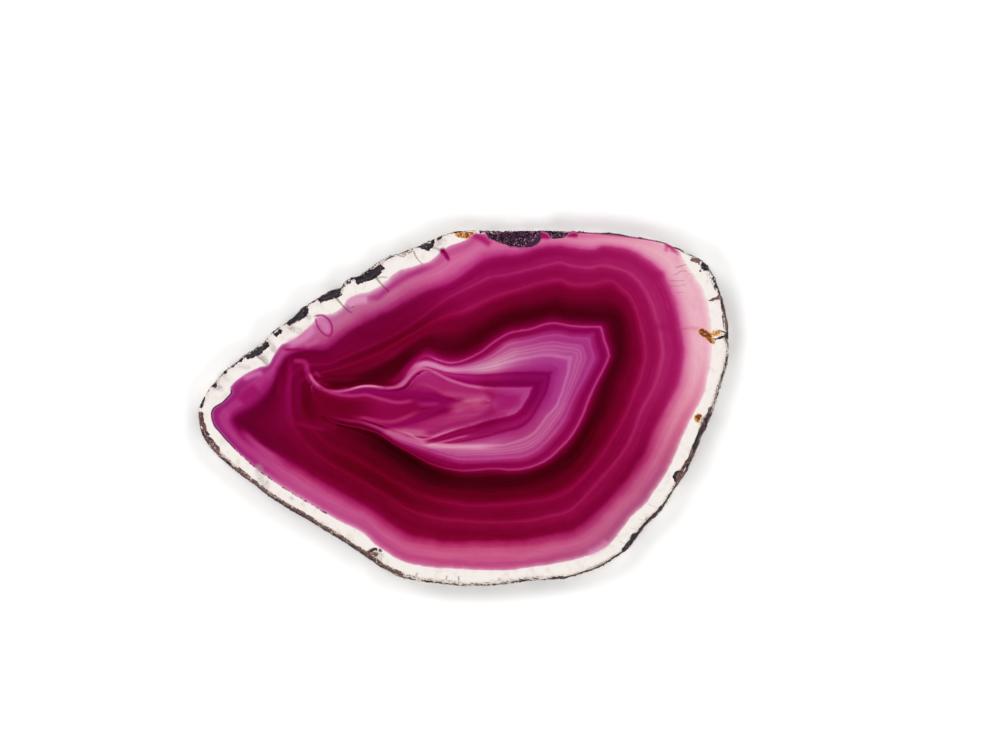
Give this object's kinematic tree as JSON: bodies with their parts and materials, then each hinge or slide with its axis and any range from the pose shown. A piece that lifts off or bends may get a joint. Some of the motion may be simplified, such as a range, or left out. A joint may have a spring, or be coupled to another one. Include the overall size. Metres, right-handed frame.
{
  "type": "agate slice",
  "caption": "Thin polished cross-section of a banded agate nodule, dyed magenta, with a rough natural rind round its edge.",
  "frame": {"origin": "middle of the underside, at the centre of the bounding box", "axes": "+X along the slice's length from the pointed end to the round end, +Y across its width towards the side with the dark rind patches, +Z out of the front polished face"},
  "size_m": [0.095, 0.0636, 0.0055],
  "materials": {
    "dyed_agate": "polished"
  },
  "bodies": {
    "root": {"agate_slice": "dyed_agate"}
  },
  "joints": []
}
